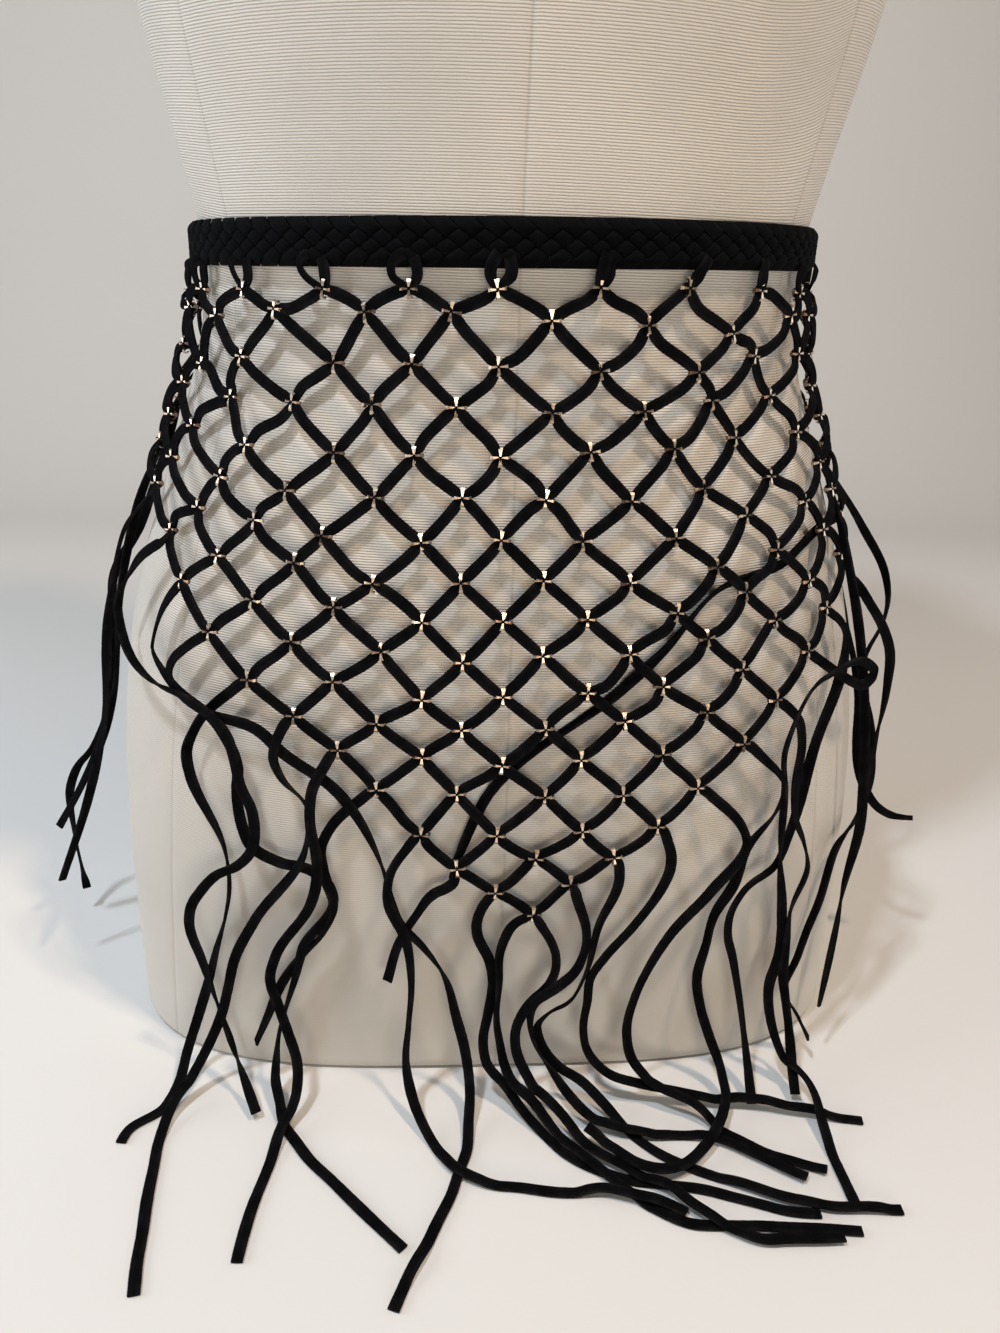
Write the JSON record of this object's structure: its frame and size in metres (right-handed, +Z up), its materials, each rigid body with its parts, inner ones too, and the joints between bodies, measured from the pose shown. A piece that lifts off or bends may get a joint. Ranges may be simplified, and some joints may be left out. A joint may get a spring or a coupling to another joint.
{
  "type": "fringe belt on a dress form",
  "caption": "Hip belt of braided suede lace with a knotted diamond net that narrows to a point at the front and a long loose fringe, worn on a limbless dress form.",
  "frame": {"origin": "centre of the dress form's flat base, at floor height", "axes": "+Z up along the form, -Y towards the front, where the net's point hangs, +X towards the right of the picture"},
  "size_m": [0.4021, 0.368, 0.8043],
  "materials": {
    "form_cover": "ribbed off-white cotton cover, matte",
    "neck_cap": "pale, satin",
    "suede_lace": "black suede, matte",
    "leather_tab": "black smooth leather",
    "brass_stud": "pale, polished"
  },
  "bodies": {
    "root": {"belt_braid": "suede_lace", "belt_stud_left": "brass_stud", "belt_stud_right": "brass_stud", "belt_tab": "leather_tab", "form_neck_cap": "neck_cap", "form_torso": "form_cover", "fringe_left_1": "suede_lace", "fringe_left_2": "suede_lace", "fringe_left_3": "suede_lace", "fringe_left_4": "suede_lace", "fringe_left_5": "suede_lace", "fringe_right_1": "suede_lace", "fringe_right_2": "suede_lace", "fringe_right_3": "suede_lace", "fringe_right_4": "suede_lace", "fringe_right_5": "suede_lace", "lace_00": "suede_lace", "lace_01": "suede_lace", "lace_02": "suede_lace", "lace_03": "suede_lace", "lace_04": "suede_lace", "lace_05": "suede_lace", "lace_06": "suede_lace", "lace_07": "suede_lace", "lace_08": "suede_lace", "lace_09": "suede_lace", "lace_10": "suede_lace", "lace_11": "suede_lace", "lace_12": "suede_lace", "lace_13": "suede_lace", "lace_14": "suede_lace", "lace_15": "suede_lace", "lace_16": "suede_lace", "lace_17": "suede_lace"}
  },
  "joints": []
}
